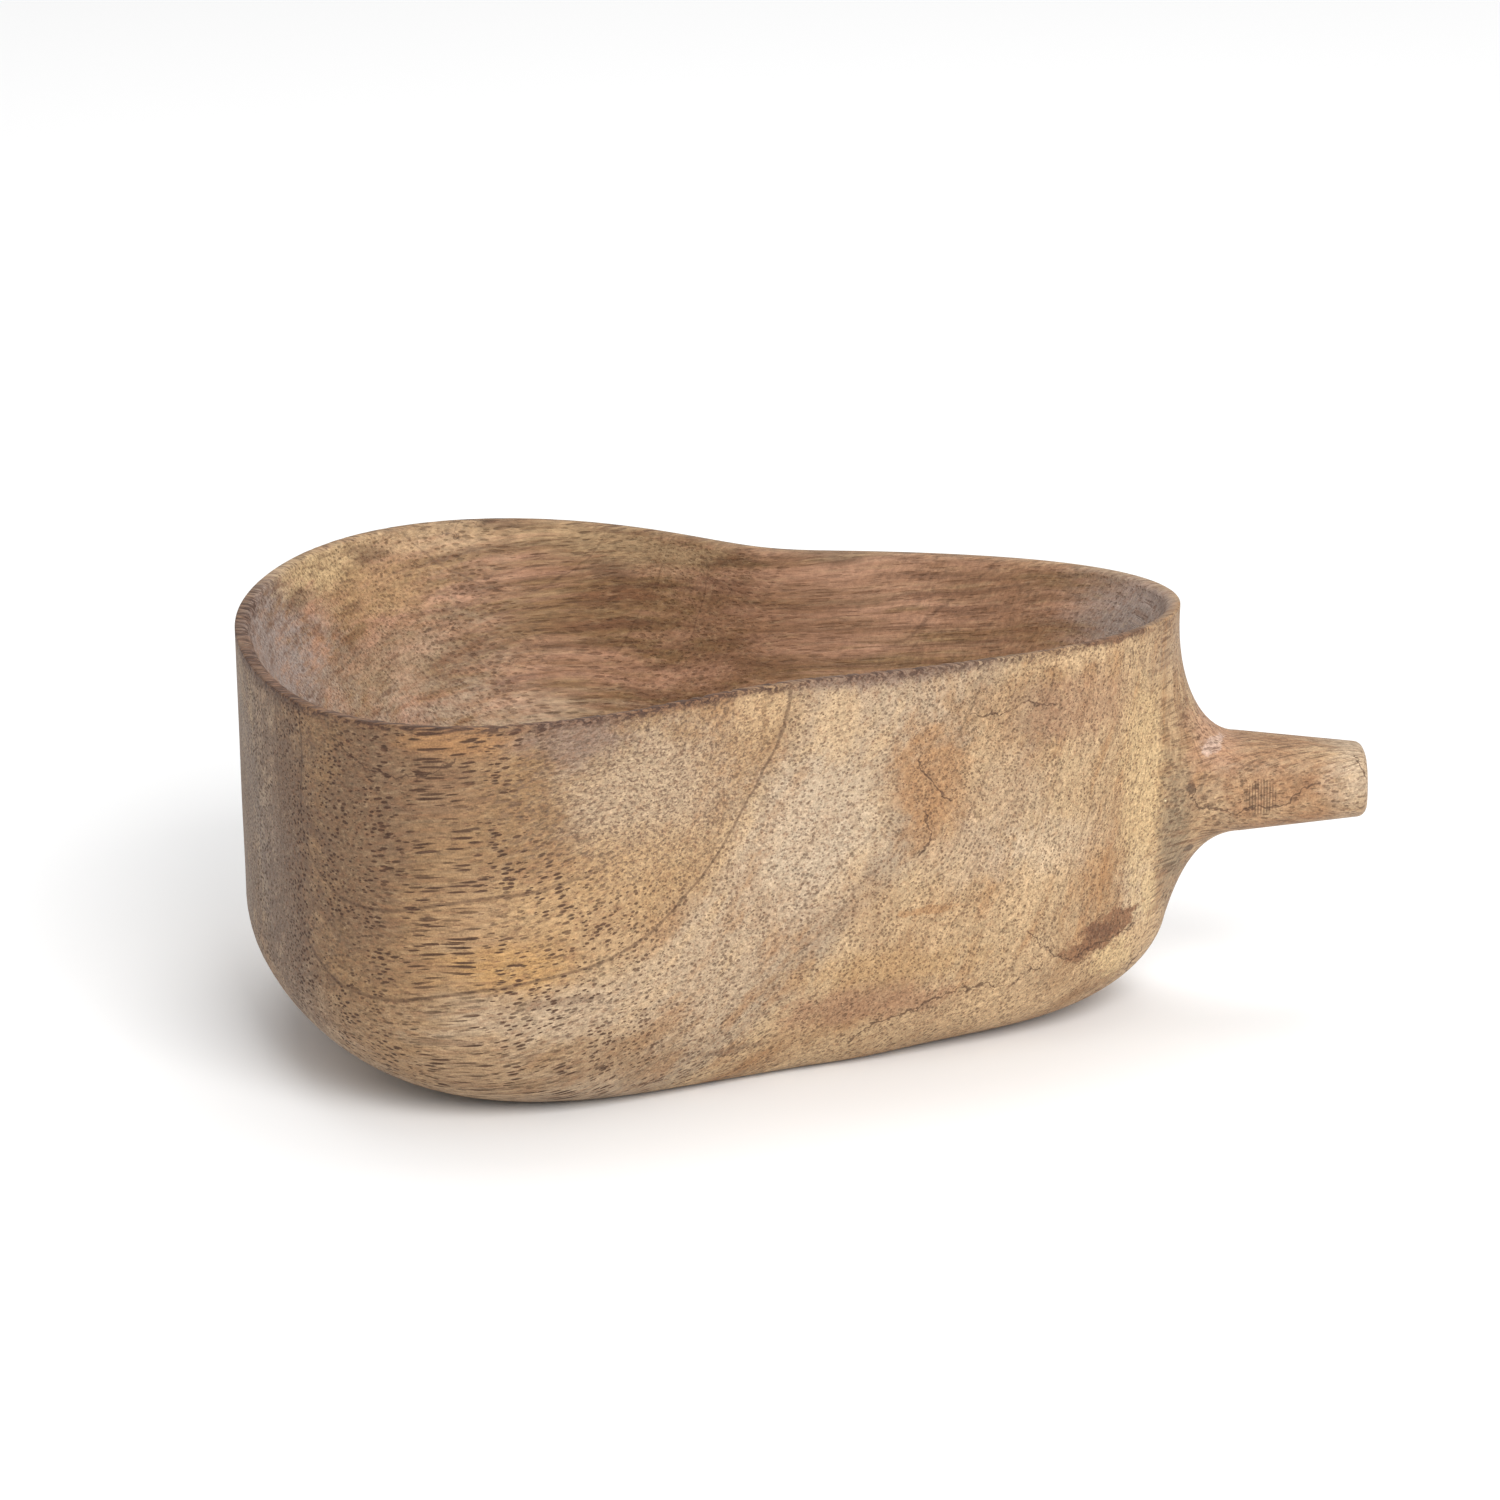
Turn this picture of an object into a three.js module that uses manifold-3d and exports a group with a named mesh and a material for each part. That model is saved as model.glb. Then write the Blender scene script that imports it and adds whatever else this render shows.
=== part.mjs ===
// A wooden cup: a pear-shaped bowl and its stem handle, carved from one block of wood.
// Millimetres. X runs from the big end of the bowl (-X) to the tip of the handle (+X), Z is up,
// and the origin is under the middle of the cup's length, on the surface that it stands on.

import * as THREE from 'three';
import { LoftGeometry } from 'three/addons/geometries/LoftGeometry.js';
import { mergeVertices } from 'three/addons/utils/BufferGeometryUtils.js';
import Module from 'manifold-3d';

// Overall sizes
const LENGTH = 176;
const HEIGHT = 65;

// Outlines seen from above: the distance from the bowl's centre every 22.5 degrees, from the
// handle round by +Y to the big end and back by -Y. The waist is a little tighter at +Y.
const RIM_RADII = [70.5, 59, 43.5, 36.5, 40.5, 58.5, 75, 77.5, 76.5, 77, 75, 57, 41.5, 39, 44.5, 58];
const BASE_RADII = [45, 36.5, 30, 27.5, 30.5, 39, 50, 45.5, 40, 45.5, 50, 39, 31, 29, 30.5, 36.5];

// Outer wall: how high the rounded bottom corner reaches, and how far the wall leans out
// between the foot and the rim, at the handle, at the sides and at the big end
const CORNER_HEIGHT = { handle: 16.5, side: 22.5, big: 21.5 };
const WALL_LEAN = { handle: 2.5, side: 0.5, big: 0 };

// Rim and hollow: the hollow's wall curves down to a level floor, whose outline is a smaller
// and rounder copy of the rim's. It is less steep at the handle.
const LIP_WIDTH = 2.4;
const LIP_DROP = 0.5;
const HOLLOW_DEPTH = 47;
const HOLLOW_CURVE = { handle: 1.6, side: 2.2, big: 2.2 };
const FLOOR_SHARE = 0.25;
const FLOOR_MARGIN = 6;

// Stem handle: half sizes at its root and at its tip, and the flare that joins it to the wall
const STEM_HEIGHT = 35.5;
const STEM_DROP = 0.5;
const STEM_ROOT = { width: 8.5, height: 8.5 };
const STEM_TIP = { width: 6, height: 5.5 };
const STEM_SQUARENESS = 2.6;
const TIP_ROUND = 1.4;
const FLARE_LENGTH = 9;
const FLARE_UP = 19.5;
const FLARE_DOWN = 14.5;
const FLARE_ANGLE = 0.26;
const FLARE_FULLNESS = 0.55;
const ROOT_DEPTH = 10;
const ROOT_SINK = 0.3;

// How finely the surfaces are divided
const AROUND_BOWL = 96;
const AROUND_STEM = 36;
const CORNER_STEPS = 6;
const WALL_STEPS = 3;
const HOLLOW_STEPS = 10;
const FLARE_STEPS = 7;
const STEM_STEPS = 4;
const TIP_STEPS = 3;

const { lerp, clamp } = THREE.MathUtils;
const centreX = RIM_RADII[RIM_RADII.length / 2] - LENGTH / 2;
const stemStartX = centreX + RIM_RADII[0];
const stemLength = LENGTH / 2 - stemStartX;
const rimRadius = smoothOutline(RIM_RADII);
const baseRadius = smoothOutline(BASE_RADII);

// A smooth closed outline through evenly spaced radii. Each radius has a weight that is 1 at its
// own angle, 0 at the others' angles, and a trigonometric curve in between.
function smoothOutline(radii) {
  const count = radii.length;
  const nodes = evenTurns(count);
  const weight = (offset) => {
    const onNode = Math.abs(Math.sin(offset / 2)) < 1e-9;
    return onNode ? 1 : Math.sin((count * offset) / 2) / (count * Math.tan(offset / 2));
  };
  return (angle) => radii.reduce((sum, radius, i) => sum + radius * weight(angle - nodes[i]), 0);
}

// A value that changes smoothly from the handle, by the sides, to the big end.
function aroundBowl(angle, { handle, side, big }) {
  const ends = (handle + big) / 2;
  const leftToRight = ((handle - big) / 2) * Math.cos(angle);
  return (ends + side) / 2 + leftToRight + ((ends - side) / 2) * Math.cos(2 * angle);
}

function evenTurns(count) {
  return Array.from({ length: count }, (_, i) => (2 * Math.PI * i) / count);
}

// A point at an angle about the bowl's centre, a radius from it and a height above the foot.
function bowlPoint(angle, radius, z) {
  return new THREE.Vector3(centreX + radius * Math.cos(angle), radius * Math.sin(angle), z);
}

function bowlRing(radiusAt, heightAt) {
  return evenTurns(AROUND_BOWL).map((angle) => bowlPoint(angle, radiusAt(angle), heightAt(angle)));
}

// The outer wall's radius: nearly straight, and a quarter of an ellipse below the corner height.
function wallRadius(angle, z) {
  const wall = rimRadius(angle) - aroundBowl(angle, WALL_LEAN) * (1 - z / HEIGHT);
  const below = Math.max(0, 1 - z / aroundBowl(angle, CORNER_HEIGHT));
  return lerp(baseRadius(angle), wall, Math.sqrt(1 - below * below));
}

function wallRing(heightAt) {
  return bowlRing((angle) => wallRadius(angle, heightAt(angle)), heightAt);
}

// The block: rings from the flat foot, round the corner and up the wall to the flat top.
function blockRings() {
  const rings = [];
  for (let i = 0; i <= CORNER_STEPS; i += 1) {
    const rise = 1 - Math.cos(((Math.PI / 2) * i) / CORNER_STEPS);
    rings.push(wallRing((angle) => rise * aroundBowl(angle, CORNER_HEIGHT)));
  }
  for (let i = 1; i <= WALL_STEPS; i += 1) {
    const rimEdge = HEIGHT - LIP_DROP;
    rings.push(wallRing((angle) => lerp(aroundBowl(angle, CORNER_HEIGHT), rimEdge, i / WALL_STEPS)));
  }
  rings.push(bowlRing((angle) => rimRadius(angle) - LIP_WIDTH / 4, () => HEIGHT));
  return rings;
}

// The hollow's cutter: rings from its level floor, up its curved wall and past the rim.
function hollowRings() {
  const rings = [];
  const floorRadius = (angle) => FLOOR_MARGIN + FLOOR_SHARE * rimRadius(angle);
  for (let i = 0; i <= HOLLOW_STEPS; i += 1) {
    const out = i / HOLLOW_STEPS;
    const share = (angle) => out ** aroundBowl(angle, HOLLOW_CURVE);
    const height = (angle) => HEIGHT - LIP_DROP - HOLLOW_DEPTH * (1 - share(angle));
    rings.push(bowlRing((angle) => lerp(floorRadius(angle), rimRadius(angle) - LIP_WIDTH, out), height));
  }
  for (const z of [HEIGHT, HEIGHT + LIP_WIDTH]) {
    rings.push(bowlRing((angle) => rimRadius(angle) - (3 / 4) * LIP_WIDTH, () => z));
  }
  return rings;
}

// A point of the stem's rounded-square section: turn 0 is at +Y, and a quarter turn at the top.
function stemPoint(turn, x, shrink) {
  const along = clamp((x - stemStartX) / stemLength, 0, 1);
  const width = lerp(STEM_ROOT.width, STEM_TIP.width, along) - shrink;
  const height = lerp(STEM_ROOT.height, STEM_TIP.height, along) - shrink;
  const soften = (value) => Math.sign(value) * Math.abs(value) ** (2 / STEM_SQUARENESS);
  const z = STEM_HEIGHT - STEM_DROP * along + height * soften(Math.sin(turn));
  return new THREE.Vector3(x, width * soften(Math.cos(turn)), z);
}

// The flare's edge, where it meets the bowl: an oval drawn just under the outer wall's surface.
function flareEdge(turn, size) {
  const up = Math.sin(turn);
  const spread = STEM_ROOT.height + (up > 0 ? FLARE_UP : FLARE_DOWN);
  const z = STEM_HEIGHT + size * spread * up;
  const angle = size * FLARE_ANGLE * Math.cos(turn);
  return bowlPoint(angle, wallRadius(angle, z) - ROOT_SINK, z);
}

// One line of the flare: it leaves the edge along the wall and arrives along the stem.
function flareLine(turn) {
  const arriveX = stemStartX + FLARE_LENGTH;
  const edge = flareEdge(turn, 1);
  const arrive = stemPoint(turn, arriveX, 0);
  const alongWall = flareEdge(turn, 0.9).sub(edge).normalize();
  const leave = alongWall.multiplyScalar(FLARE_FULLNESS * edge.distanceTo(arrive)).add(edge);
  const before = arrive.clone().setX(arriveX - FLARE_FULLNESS * FLARE_LENGTH);
  return new THREE.CubicBezierCurve3(edge, leave, before, arrive);
}

// The handle: rings from inside the wall, out through the flare and along the stem to its tip.
function handleRings() {
  const turns = evenTurns(AROUND_STEM);
  const stemRing = (x, shrink) => turns.map((turn) => stemPoint(turn, x, shrink));
  const flareLines = turns.map(flareLine);
  const rings = [stemRing(stemStartX - ROOT_DEPTH, 0)];
  for (let i = 0; i < FLARE_STEPS; i += 1) {
    rings.push(flareLines.map((line) => line.getPoint(i / FLARE_STEPS)));
  }
  const tipStartX = stemStartX + stemLength - TIP_ROUND;
  for (let i = 0; i < STEM_STEPS; i += 1) {
    rings.push(stemRing(lerp(stemStartX + FLARE_LENGTH, tipStartX, i / STEM_STEPS), 0));
  }
  for (let i = 0; i <= TIP_STEPS; i += 1) {
    const bend = ((Math.PI / 2) * i) / TIP_STEPS;
    rings.push(stemRing(tipStartX + TIP_ROUND * Math.sin(bend), TIP_ROUND * (1 - Math.cos(bend))));
  }
  return rings;
}

function solidFromRings(solids, rings) {
  const loft = new LoftGeometry(rings, { capStart: true, capEnd: true });
  const shell = new THREE.BufferGeometry().copy(loft);
  shell.deleteAttribute('normal');
  shell.deleteAttribute('uv');
  const merged = mergeVertices(shell);
  const vertProperties = new Float32Array(merged.attributes.position.array);
  const triVerts = new Uint32Array(merged.index.array);
  return new solids.Manifold(new solids.Mesh({ numProp: 3, vertProperties, triVerts }));
}

function geometryFromSolid(solid) {
  const { vertProperties, triVerts } = solid.getMesh();
  const geometry = new THREE.BufferGeometry();
  geometry.setAttribute('position', new THREE.BufferAttribute(vertProperties, 3));
  geometry.setIndex(new THREE.BufferAttribute(triVerts, 1));
  geometry.computeVertexNormals();
  return geometry;
}

const solids = await Module();
solids.setup();

const block = solidFromRings(solids, blockRings());
const handle = solidFromRings(solids, handleRings());
const hollow = solidFromRings(solids, hollowRings());
const carved = geometryFromSolid(block.add(handle).subtract(hollow));

const wood = new THREE.MeshStandardMaterial({ color: 0xa98465, roughness: 0.72, metalness: 0 });
const cup = new THREE.Mesh(carved, wood);
cup.name = 'cup';

const model = new THREE.Group();
model.add(cup);

export default model;
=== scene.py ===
import math
from itertools import chain
from types import SimpleNamespace

import bpy
import numpy as np
from mathutils import Matrix, Vector


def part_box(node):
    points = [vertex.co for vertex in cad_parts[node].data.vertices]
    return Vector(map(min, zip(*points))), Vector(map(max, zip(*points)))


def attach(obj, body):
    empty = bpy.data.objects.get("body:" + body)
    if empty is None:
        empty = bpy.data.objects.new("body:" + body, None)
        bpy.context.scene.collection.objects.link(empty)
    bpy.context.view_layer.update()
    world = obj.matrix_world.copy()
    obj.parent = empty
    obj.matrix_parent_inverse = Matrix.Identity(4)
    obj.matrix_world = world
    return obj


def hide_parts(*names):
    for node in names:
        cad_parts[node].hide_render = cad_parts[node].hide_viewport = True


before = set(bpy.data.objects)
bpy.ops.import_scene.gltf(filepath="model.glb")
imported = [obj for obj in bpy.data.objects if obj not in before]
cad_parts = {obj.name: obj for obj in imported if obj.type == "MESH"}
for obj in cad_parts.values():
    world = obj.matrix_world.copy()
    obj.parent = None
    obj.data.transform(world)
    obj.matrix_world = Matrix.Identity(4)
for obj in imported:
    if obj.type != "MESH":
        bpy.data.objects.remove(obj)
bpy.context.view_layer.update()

MM = 0.001
LOW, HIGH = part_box("cup")
HEIGHT = HIGH.z

# Outlines seen from above: the distance from the bowl's centre every 22.5 degrees, from the
# handle round by +Y to the big end and back by -Y
RIM_RADII = MM * np.array([
    70.5, 59, 43.5, 36.5, 40.5, 58.5, 75, 77.5, 76.5, 77, 75, 57, 41.5, 39, 44.5, 58,
])
BASE_RADII = MM * np.array([
    45, 36.5, 30, 27.5, 30.5, 39, 50, 45.5, 40, 45.5, 50, 39, 31, 29, 30.5, 36.5,
])
CENTRE_X = LOW.x + RIM_RADII[len(RIM_RADII) // 2]
# Between its facets' corners the CAD model lies a hair inside this smoother outline, so the rim is
# drawn this much smaller to stay in the same box
RIM_INSET = 0.04 * MM

# Outer wall: the rounded bottom corner's height, and how far the wall leans out from foot to rim,
# at the handle, at the sides and at the big end
CORNER_HEIGHT = (16.5 * MM, 22.5 * MM, 21.5 * MM)
WALL_LEAN = (2.5 * MM, 0.5 * MM, 0.0)

# Rim and hollow. The hollow's wall is less steep at the handle. The tool's marks nick the rim's
# front and left: NICK_DEPTH is the deepest, NICK_SHARE is how many of the points are nicked, and
# NICK_TURN turns the roughest side from the front towards the left, in radians.
LIP_WIDTH = 2.4 * MM
LIP_OUTER_ROUND = 0.35 * MM
LIP_INNER_ROUND = 1.3 * MM
NICK_DEPTH = 0.3 * MM
NICK_SHARE = 0.6
NICK_TURN = 0.6
NICK_SEED = 7
HOLLOW_DEPTH = 47.5 * MM
HOLLOW_CURVE = (1.6, 2.2, 2.2)
FLOOR_SHARE = 0.25
FLOOR_MARGIN = 6 * MM

# Stem handle: half sizes (width, height) at its root and tip, and the flare that joins it to the
# wall
STEM_START = CENTRE_X + RIM_RADII[0]
STEM_LENGTH = HIGH.x - STEM_START
STEM_HEIGHT = 35.5 * MM
STEM_DROP = 0.5 * MM
STEM_ROOT = (8.5 * MM, 8.5 * MM)
STEM_TIP = (6 * MM, 5.5 * MM)
STEM_SQUARENESS = 2.6
TIP_ROUND = 1.4 * MM
FLARE_LENGTH = 9 * MM
FLARE_UP = 19.3 * MM
FLARE_DOWN = 14.5 * MM
FLARE_ANGLE = 0.26
FLARE_FULLNESS = 0.55

# Shallow unevenness left by the carver's tools: the deepest it cuts, and its waves as
# (count round the bowl, turns per metre of height, phase)
WALL_DENT = 0.3 * MM
HOLLOW_DENT = 0.5 * MM
DENT_WAVES = ((4, 95, 0.3), (7, -130, 2.1), (11, 60, 4.0), (17, 240, 5.2), (26, -90, 1.2))

# How finely the mesh is divided
COLUMNS = 448
CORNER_ROWS = 24
WALL_ROWS = 50
LIP_ARC_ROWS = 4
LIP_FLAT_ROWS = 3
HOLLOW_ROWS = 66
HOLE_COLUMNS = 20
HOLE_MARGIN = 1.0 * MM
BLEND_RINGS = 4
FLARE_RINGS = 18
STEM_RINGS = 18
TIP_RINGS = 5
END_RINGS = 6
# The flat floor and foot are filled with rings DISC_STEP apart, counted along these radii
DISC_STEP = 0.9 * MM
FLOOR_SIZE = 25 * MM
FOOT_SIZE = 38 * MM


def smooth_outline(radii):
    """A smooth closed outline through evenly spaced radii, as a function of the angle."""
    count = len(radii)
    waves = np.fft.rfft(radii) / count
    waves[1:count // 2] *= 2
    order = np.arange(len(waves))
    return lambda angle: np.real(np.exp(1j * np.multiply.outer(angle, order)) @ waves)


rim_radius = smooth_outline(RIM_RADII - RIM_INSET)
base_radius = smooth_outline(BASE_RADII)


def lerp(a, b, share):
    return a + (b - a) * share


def around_bowl(angle, values):
    """A value that changes smoothly from the handle, by the sides, to the big end."""
    handle, side, big = values
    ends = (handle + big) / 2
    lengthwise = (handle - big) / 2 * np.cos(angle)
    return (ends + side) / 2 + lengthwise + (ends - side) / 2 * np.cos(2 * angle)


def bowl_points(angle, radius, z):
    """Points at angles about the bowl's centre, at radii from it and heights above the foot."""
    x, y, z = np.broadcast_arrays(CENTRE_X + radius * np.cos(angle), radius * np.sin(angle), z)
    return np.stack([x, y, z], axis=-1)


def dents(angle, z, deepest):
    """How far the tools cut below the smooth surface: from nothing to the deepest."""
    waves = sum(np.sin(count * angle + turns * z + phase) for count, turns, phase in DENT_WAVES)
    return deepest * (0.5 + 0.5 * waves / len(DENT_WAVES))


def wall_radius(angle, z):
    """The outer wall: nearly straight, and a quarter of an ellipse below the corner height."""
    wall = rim_radius(angle) - around_bowl(angle, WALL_LEAN) * (1 - z / HEIGHT)
    below = np.maximum(0, 1 - z / around_bowl(angle, CORNER_HEIGHT))
    smooth = lerp(base_radius(angle), wall, np.sqrt(1 - below ** 2))
    middle = np.sin(math.pi * np.clip(z / HEIGHT, 0, 1))
    return smooth - middle * dents(angle, z, WALL_DENT)


def unit(vectors):
    return vectors / np.linalg.norm(vectors, axis=-1, keepdims=True)


class Shell:
    """A closed mesh collected ring by ring. Bridged rings face outwards when each runs
    anticlockwise as seen from where the next one lies."""

    def __init__(self):
        self.points = []
        self.hollow = []
        self.faces = []
        self.count = 0

    def add(self, points, hollow=0.0):
        """Adds a ring, and says how far it is part of the hollow, from 0 to 1."""
        points = np.atleast_2d(points)
        ring = np.arange(self.count, self.count + len(points))
        self.points.append(points)
        self.hollow.append(np.full(len(points), hollow))
        self.count += len(points)
        return ring

    def face(self, *corners):
        self.faces.extend(zip(*corners))

    def bridge(self, ring, following, keep=None):
        """Quads from one ring to the next one, of the same length."""
        corners = np.stack([ring, np.roll(ring, -1), np.roll(following, -1), following])
        self.face(*(corners if keep is None else corners[:, keep]))

    def extend(self, ring, points, hollow=0.0):
        """Adds a ring and bridges to it from the one before it."""
        following = self.add(points, hollow)
        self.bridge(ring, following)
        return following

    def close(self, ring, point, hollow=0.0):
        """Closes a ring with triangles that meet at a point."""
        middle = self.add(point, hollow)
        self.face(ring, np.roll(ring, -1), np.broadcast_to(middle, ring.shape))

    def halve(self, ring, following):
        """Faces from one ring to the next one, which has half as many points."""
        even, odd, after = ring[0::2], ring[1::2], np.roll(ring[0::2], -1)
        ahead = np.roll(following, -1)
        self.face(even, odd, following)
        self.face(odd, ahead, following)
        self.face(odd, after, ahead)

    def fill(self, ring, angles, point_at, size, hollow=0.0):
        """Fills a ring with smaller rings. point_at(angles, share) gives the points at a share of
        the way out from the middle, and size is roughly the ring's radius. A ring gets half the
        columns of the one around it where they would be crowded."""
        smallest = 1.5 * DISC_STEP
        narrowest = 0.6 * DISC_STEP
        share = 1.0
        while share * size > smallest:
            share -= DISC_STEP / size
            column_step = 2 * math.pi * size * share / len(angles)
            crowded = len(angles) % 2 == 0 and column_step < narrowest
            if crowded:
                angles = angles[0::2]
            following = self.add(point_at(angles, share), hollow)
            (self.halve if crowded else self.bridge)(ring, following)
            ring = following
        self.close(ring, point_at(angles[:1], 0.0), hollow)

    def arrays(self):
        """All the points that a face uses, their share of the hollow, and the faces."""
        used = np.unique([corner for face in self.faces for corner in face])
        renumber = np.zeros(self.count, int)
        renumber[used] = np.arange(len(used))
        faces = [tuple(renumber[list(face)].tolist()) for face in self.faces]
        return np.concatenate(self.points)[used], np.concatenate(self.hollow)[used], faces


def wall_rows(angles):
    """Heights of the outer wall's rows at each angle, from the foot to the lip."""
    corner = around_bowl(angles, CORNER_HEIGHT)
    turns = np.linspace(0, math.pi / 2, CORNER_ROWS, endpoint=False)
    rises = np.linspace(0, 1, WALL_ROWS + 1)
    low = [corner * (1 - math.cos(turn)) for turn in turns]
    high = [lerp(corner, HEIGHT - LIP_OUTER_ROUND, rise) for rise in rises]
    return np.array(low + high)


def nick_depths(angles):
    """How deep the tool's marks cut into the rim, at each angle: seldom on the back and right."""
    depths, chances = np.random.default_rng(NICK_SEED).random((2, len(angles)))
    rough_side = 0.5 - 0.5 * np.sin(angles + NICK_TURN)
    return NICK_DEPTH * rough_side * depths ** 2 * (chances < NICK_SHARE)


def lip_rows():
    """The lip's section as (distance in from the rim's outline, height) pairs, from outside in."""
    arc = np.linspace(0, math.pi / 2, LIP_ARC_ROWS + 1)
    across, drop = 1 - np.cos(arc), 1 - np.sin(arc)
    outer = zip(LIP_OUTER_ROUND * across[1:], HEIGHT - LIP_OUTER_ROUND * drop[1:])
    flat = np.linspace(LIP_OUTER_ROUND, LIP_WIDTH - LIP_INNER_ROUND, LIP_FLAT_ROWS + 1)[1:-1]
    inner = zip(LIP_WIDTH - LIP_INNER_ROUND * across[::-1], HEIGHT - LIP_INNER_ROUND * drop[::-1])
    return list(outer) + [(inset, HEIGHT) for inset in flat] + list(inner)


def hollow_points(angles, out):
    """The hollow's surface, a share of the way out from its floor to the lip."""
    floor = FLOOR_MARGIN + FLOOR_SHARE * rim_radius(angles)
    rise = out ** around_bowl(angles, HOLLOW_CURVE)
    z = HEIGHT - LIP_INNER_ROUND - (HOLLOW_DEPTH - LIP_INNER_ROUND) * (1 - rise)
    dent = math.sin(math.pi * out) * dents(angles, z, HOLLOW_DENT)
    return bowl_points(angles, lerp(floor, rim_radius(angles) - LIP_WIDTH, out) - dent, z)


def floor_points(angles, share):
    radius = share * (FLOOR_MARGIN + FLOOR_SHARE * rim_radius(angles))
    return bowl_points(angles, radius, HEIGHT - HOLLOW_DEPTH)


def foot_points(angles, share):
    return bowl_points(angles, share * base_radius(angles), 0.0)


def stem_points(turn, x, shrink=0.0):
    """The stem's rounded-square section: turn 0 is at +Y, and a quarter turn at the top."""
    along = np.clip((x - STEM_START) / STEM_LENGTH, 0, 1)
    width = lerp(STEM_ROOT[0], STEM_TIP[0], along) - shrink
    height = lerp(STEM_ROOT[1], STEM_TIP[1], along) - shrink
    across, up = np.cos(turn), np.sin(turn)
    power = 2 / STEM_SQUARENESS
    y = width * np.sign(across) * np.abs(across) ** power
    z = STEM_HEIGHT - STEM_DROP * along + height * np.sign(up) * np.abs(up) ** power
    return np.stack(np.broadcast_arrays(x, y, z), axis=-1)


def flare_spread(up):
    return STEM_ROOT[1] + np.where(up > 0, FLARE_UP, FLARE_DOWN)


def flare_edge(turn, size=1.0):
    """(angle, height) on the wall of the oval where the flare begins."""
    up = np.sin(turn)
    return size * FLARE_ANGLE * np.cos(turn), STEM_HEIGHT + size * flare_spread(up) * up


def on_wall(angle, z):
    return bowl_points(angle, wall_radius(angle, z), z)


def flare_rings(turn):
    """Rings that leave the wall along its surface and arrive along the stem."""
    inner_share = 0.9
    arrive_x = STEM_START + FLARE_LENGTH
    edge = on_wall(*flare_edge(turn))
    arrive = stem_points(turn, arrive_x)
    along_wall = unit(on_wall(*flare_edge(turn, inner_share)) - edge)
    reach = np.linalg.norm(arrive - edge, axis=-1, keepdims=True)
    leave = edge + along_wall * FLARE_FULLNESS * reach
    before = arrive - np.array([FLARE_FULLNESS * FLARE_LENGTH, 0, 0])
    for t in np.linspace(0, 1, FLARE_RINGS + 1):
        s = 1 - t
        yield s ** 3 * edge + 3 * s ** 2 * t * leave + 3 * s * t ** 2 * before + t ** 3 * arrive


def blend_rings(turn, angle, z):
    """Rings on the wall, from the hole cut for the handle to the flare's edge."""
    edge_angle, edge_z = flare_edge(turn)
    for share in np.linspace(0, 1, BLEND_RINGS + 1)[1:-1]:
        yield on_wall(lerp(angle, edge_angle, share), lerp(z, edge_z, share))


def stem_rings(turn):
    """Rings along the stem, round its tip's edge and across its flat end."""
    straight_start = STEM_START + FLARE_LENGTH
    tip_start = STEM_START + STEM_LENGTH - TIP_ROUND
    for x in np.linspace(straight_start, tip_start, STEM_RINGS + 1)[1:]:
        yield stem_points(turn, x)
    for bend in np.linspace(0, math.pi / 2, TIP_RINGS + 1)[1:]:
        x = tip_start + TIP_ROUND * math.sin(bend)
        yield stem_points(turn, x, TIP_ROUND * (1 - math.cos(bend)))
    for share in np.linspace(0, 1, END_RINGS + 1)[1:-1]:
        yield stem_points(turn, HIGH.x, lerp(TIP_ROUND, STEM_TIP[1], share))


def handle_hole(heights):
    """The wall's rows that the hole for the handle lies between, and the (row, column) pairs of
    its edge. The hole is centred on column 0."""
    middle = heights[:, 0]
    up, down = np.array([1.0]), np.array([-1.0])
    lowest = STEM_HEIGHT - flare_spread(down)[0] - HOLE_MARGIN
    highest = STEM_HEIGHT + flare_spread(up)[0]
    first = int(np.searchsorted(middle, lowest)) - 1
    last = int(np.searchsorted(middle, highest))
    side = HOLE_COLUMNS
    right = [(row, side) for row in range(first, last)]
    top = [(last, column) for column in range(side, -side, -1)]
    left = [(row, -side) for row in range(last, first, -1)]
    bottom = [(first, column) for column in range(-side, side)]
    return first, last, np.array(right + top + left + bottom)


def add_handle(shell, grid, angles, heights):
    """Puts the flare and the stem into a hole in the wall, and returns the rows that the hole
    lies between. grid holds the wall's point numbers by row and column."""
    first, last, edge = handle_hole(heights)
    row, column = edge.T
    angle = np.where(column < 0, angles[column] - 2 * math.pi, angles[column])
    z = heights[row, column]
    rise = z - STEM_HEIGHT
    turn = np.arctan2(rise / flare_spread(rise), angle / FLARE_ANGLE)
    ring = grid[row, column]
    for points in chain(blend_rings(turn, angle, z), flare_rings(turn), stem_rings(turn)):
        ring = shell.extend(ring, points)
    shell.close(ring, [HIGH.x, 0, STEM_HEIGHT - STEM_DROP])
    return first, last


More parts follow.
